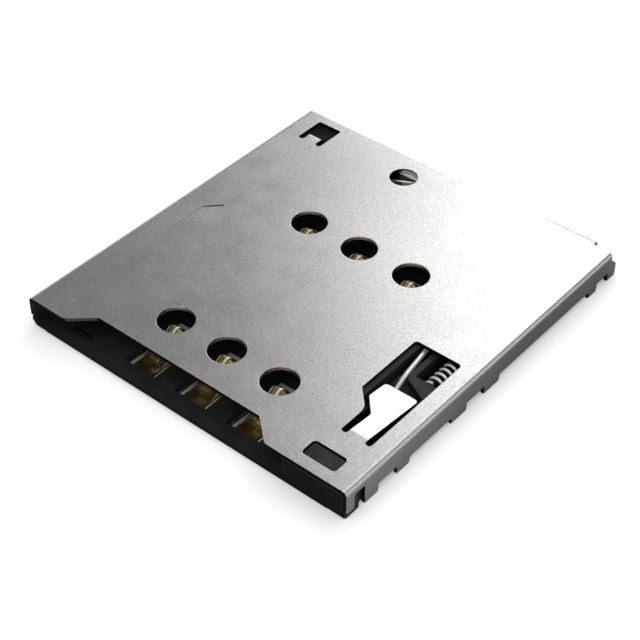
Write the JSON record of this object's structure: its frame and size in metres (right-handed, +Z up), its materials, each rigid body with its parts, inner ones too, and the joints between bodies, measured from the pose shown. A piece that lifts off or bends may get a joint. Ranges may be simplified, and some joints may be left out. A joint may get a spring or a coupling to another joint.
{
  "type": "sim card socket",
  "caption": "Low-profile push-push SIM card socket: folded steel cover over a black moulded base, with spring contacts, a sliding ejector and a card switch.",
  "frame": {"origin": "middle of the footprint, on the board that the solder feet stand on", "axes": "+Z up from the board, +Y along the card's way in, from the open front to the back, +X to the side of the ejector slide"},
  "size_m": [0.0154, 0.0168, 0.0013],
  "materials": {
    "stainless": "satin",
    "black_plastic": "matte moulded",
    "slider_plastic": "matte moulded",
    "spring_steel": "drawn wire",
    "link_steel": "drawn wire",
    "gold_plate": "gold flash on copper alloy",
    "switch_spring": "plated copper alloy"
  },
  "bodies": {
    "base": {"shell": "stainless", "housing": "black_plastic", "return_spring": "spring_steel", "switch_leaf": "switch_spring", "switch_plate": "switch_spring", "contact_front_1": "gold_plate", "contact_front_2": "gold_plate", "contact_front_3": "gold_plate", "contact_back_1": "gold_plate", "contact_back_2": "gold_plate", "contact_back_3": "gold_plate"},
    "slider": {"slider": "slider_plastic"},
    "cam_link": {"cam_link": "link_steel"}
  },
  "joints": [
    {"name": "eject_slide", "type": "slide", "parent": "base", "child": "slider", "axis": [0, 1, 0], "range_m": [0, 0.0026], "stiffness_N_per_m": 150, "springref_m": -0.0015, "deforming": ["return_spring"]},
    {"name": "link_pivot", "type": "hinge", "parent": "base", "child": "cam_link", "pos_m": [0.00503, 0.00089, 0.00097], "axis": [0, 0, 1], "range_deg": [-1.94, 0]}
  ],
  "couplings": [
    {"joint": "link_pivot", "follows": "eject_slide", "rad_per_m": -12.97}
  ]
}
